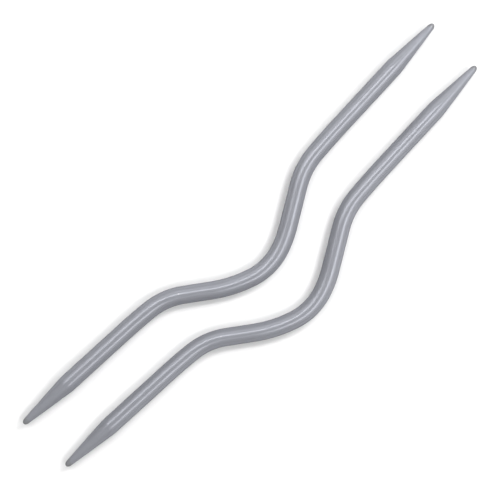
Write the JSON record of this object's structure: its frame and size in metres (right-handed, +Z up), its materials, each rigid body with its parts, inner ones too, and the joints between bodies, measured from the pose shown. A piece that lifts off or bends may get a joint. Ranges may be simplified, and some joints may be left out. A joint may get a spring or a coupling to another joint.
{
  "type": "cable needle pair",
  "caption": "Pair of slim metal cable needles, each a rod bent to a central dip and pointed at both ends, lying side by side.",
  "frame": {"origin": "on the table, under the middle of the pair's outer box", "axes": "+X along the tip-to-tip line from tip A to tip B, +Y towards the side that the dips open to, +Z up from the table; both needles lie flat"},
  "size_m": [0.1264, 0.0294, 0.004],
  "materials": {
    "pearl_grey": "satin"
  },
  "bodies": {
    "first_needle": {"first_needle": "pearl_grey"},
    "second_needle": {"second_needle": "pearl_grey"}
  },
  "joints": [
    {"name": "second_needle_lift", "type": "slide", "parent": "first_needle", "child": "second_needle", "axis": [0, 0, 1], "range_m": [0, 0.05]}
  ]
}
